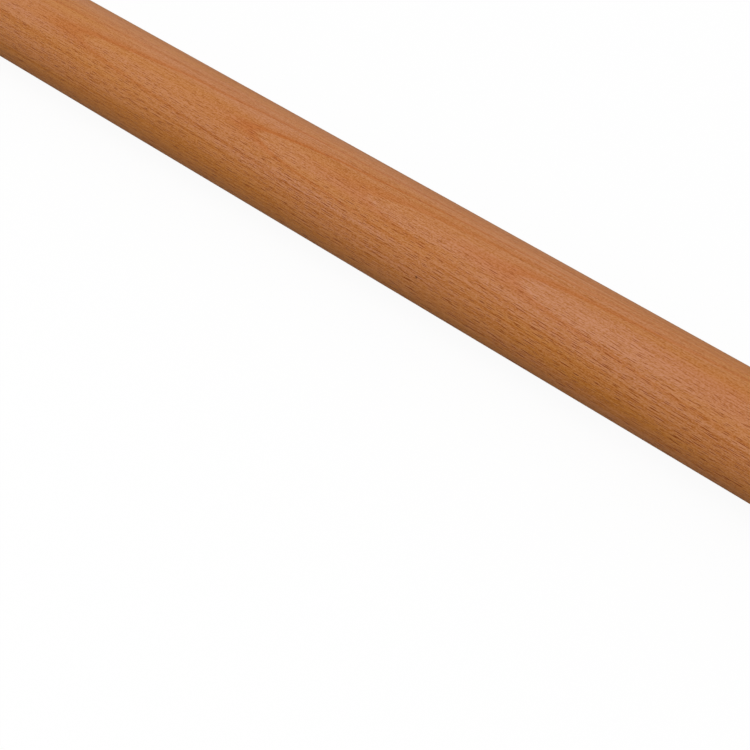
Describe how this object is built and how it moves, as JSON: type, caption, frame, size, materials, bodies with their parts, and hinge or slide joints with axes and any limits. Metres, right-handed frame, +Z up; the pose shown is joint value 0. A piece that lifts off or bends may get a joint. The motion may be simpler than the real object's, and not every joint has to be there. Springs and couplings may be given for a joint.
{
  "type": "stair handrail",
  "caption": "Straight length of round, lacquered beech stair handrail with square-sawn ends, carried on brackets or between posts to give the hand a hold along a stair.",
  "frame": {"origin": "on the floor under the middle of the rail, at the lowest line of its round section", "axes": "+X along the rail, +Z up, +Y level across the rail"},
  "size_m": [2.4, 0.04, 0.0398],
  "materials": {
    "lacquered_beech": "satin lacquer over steamed beech, bare wood on the sawn ends"
  },
  "bodies": {
    "root": {"handrail": "lacquered_beech"}
  },
  "joints": []
}
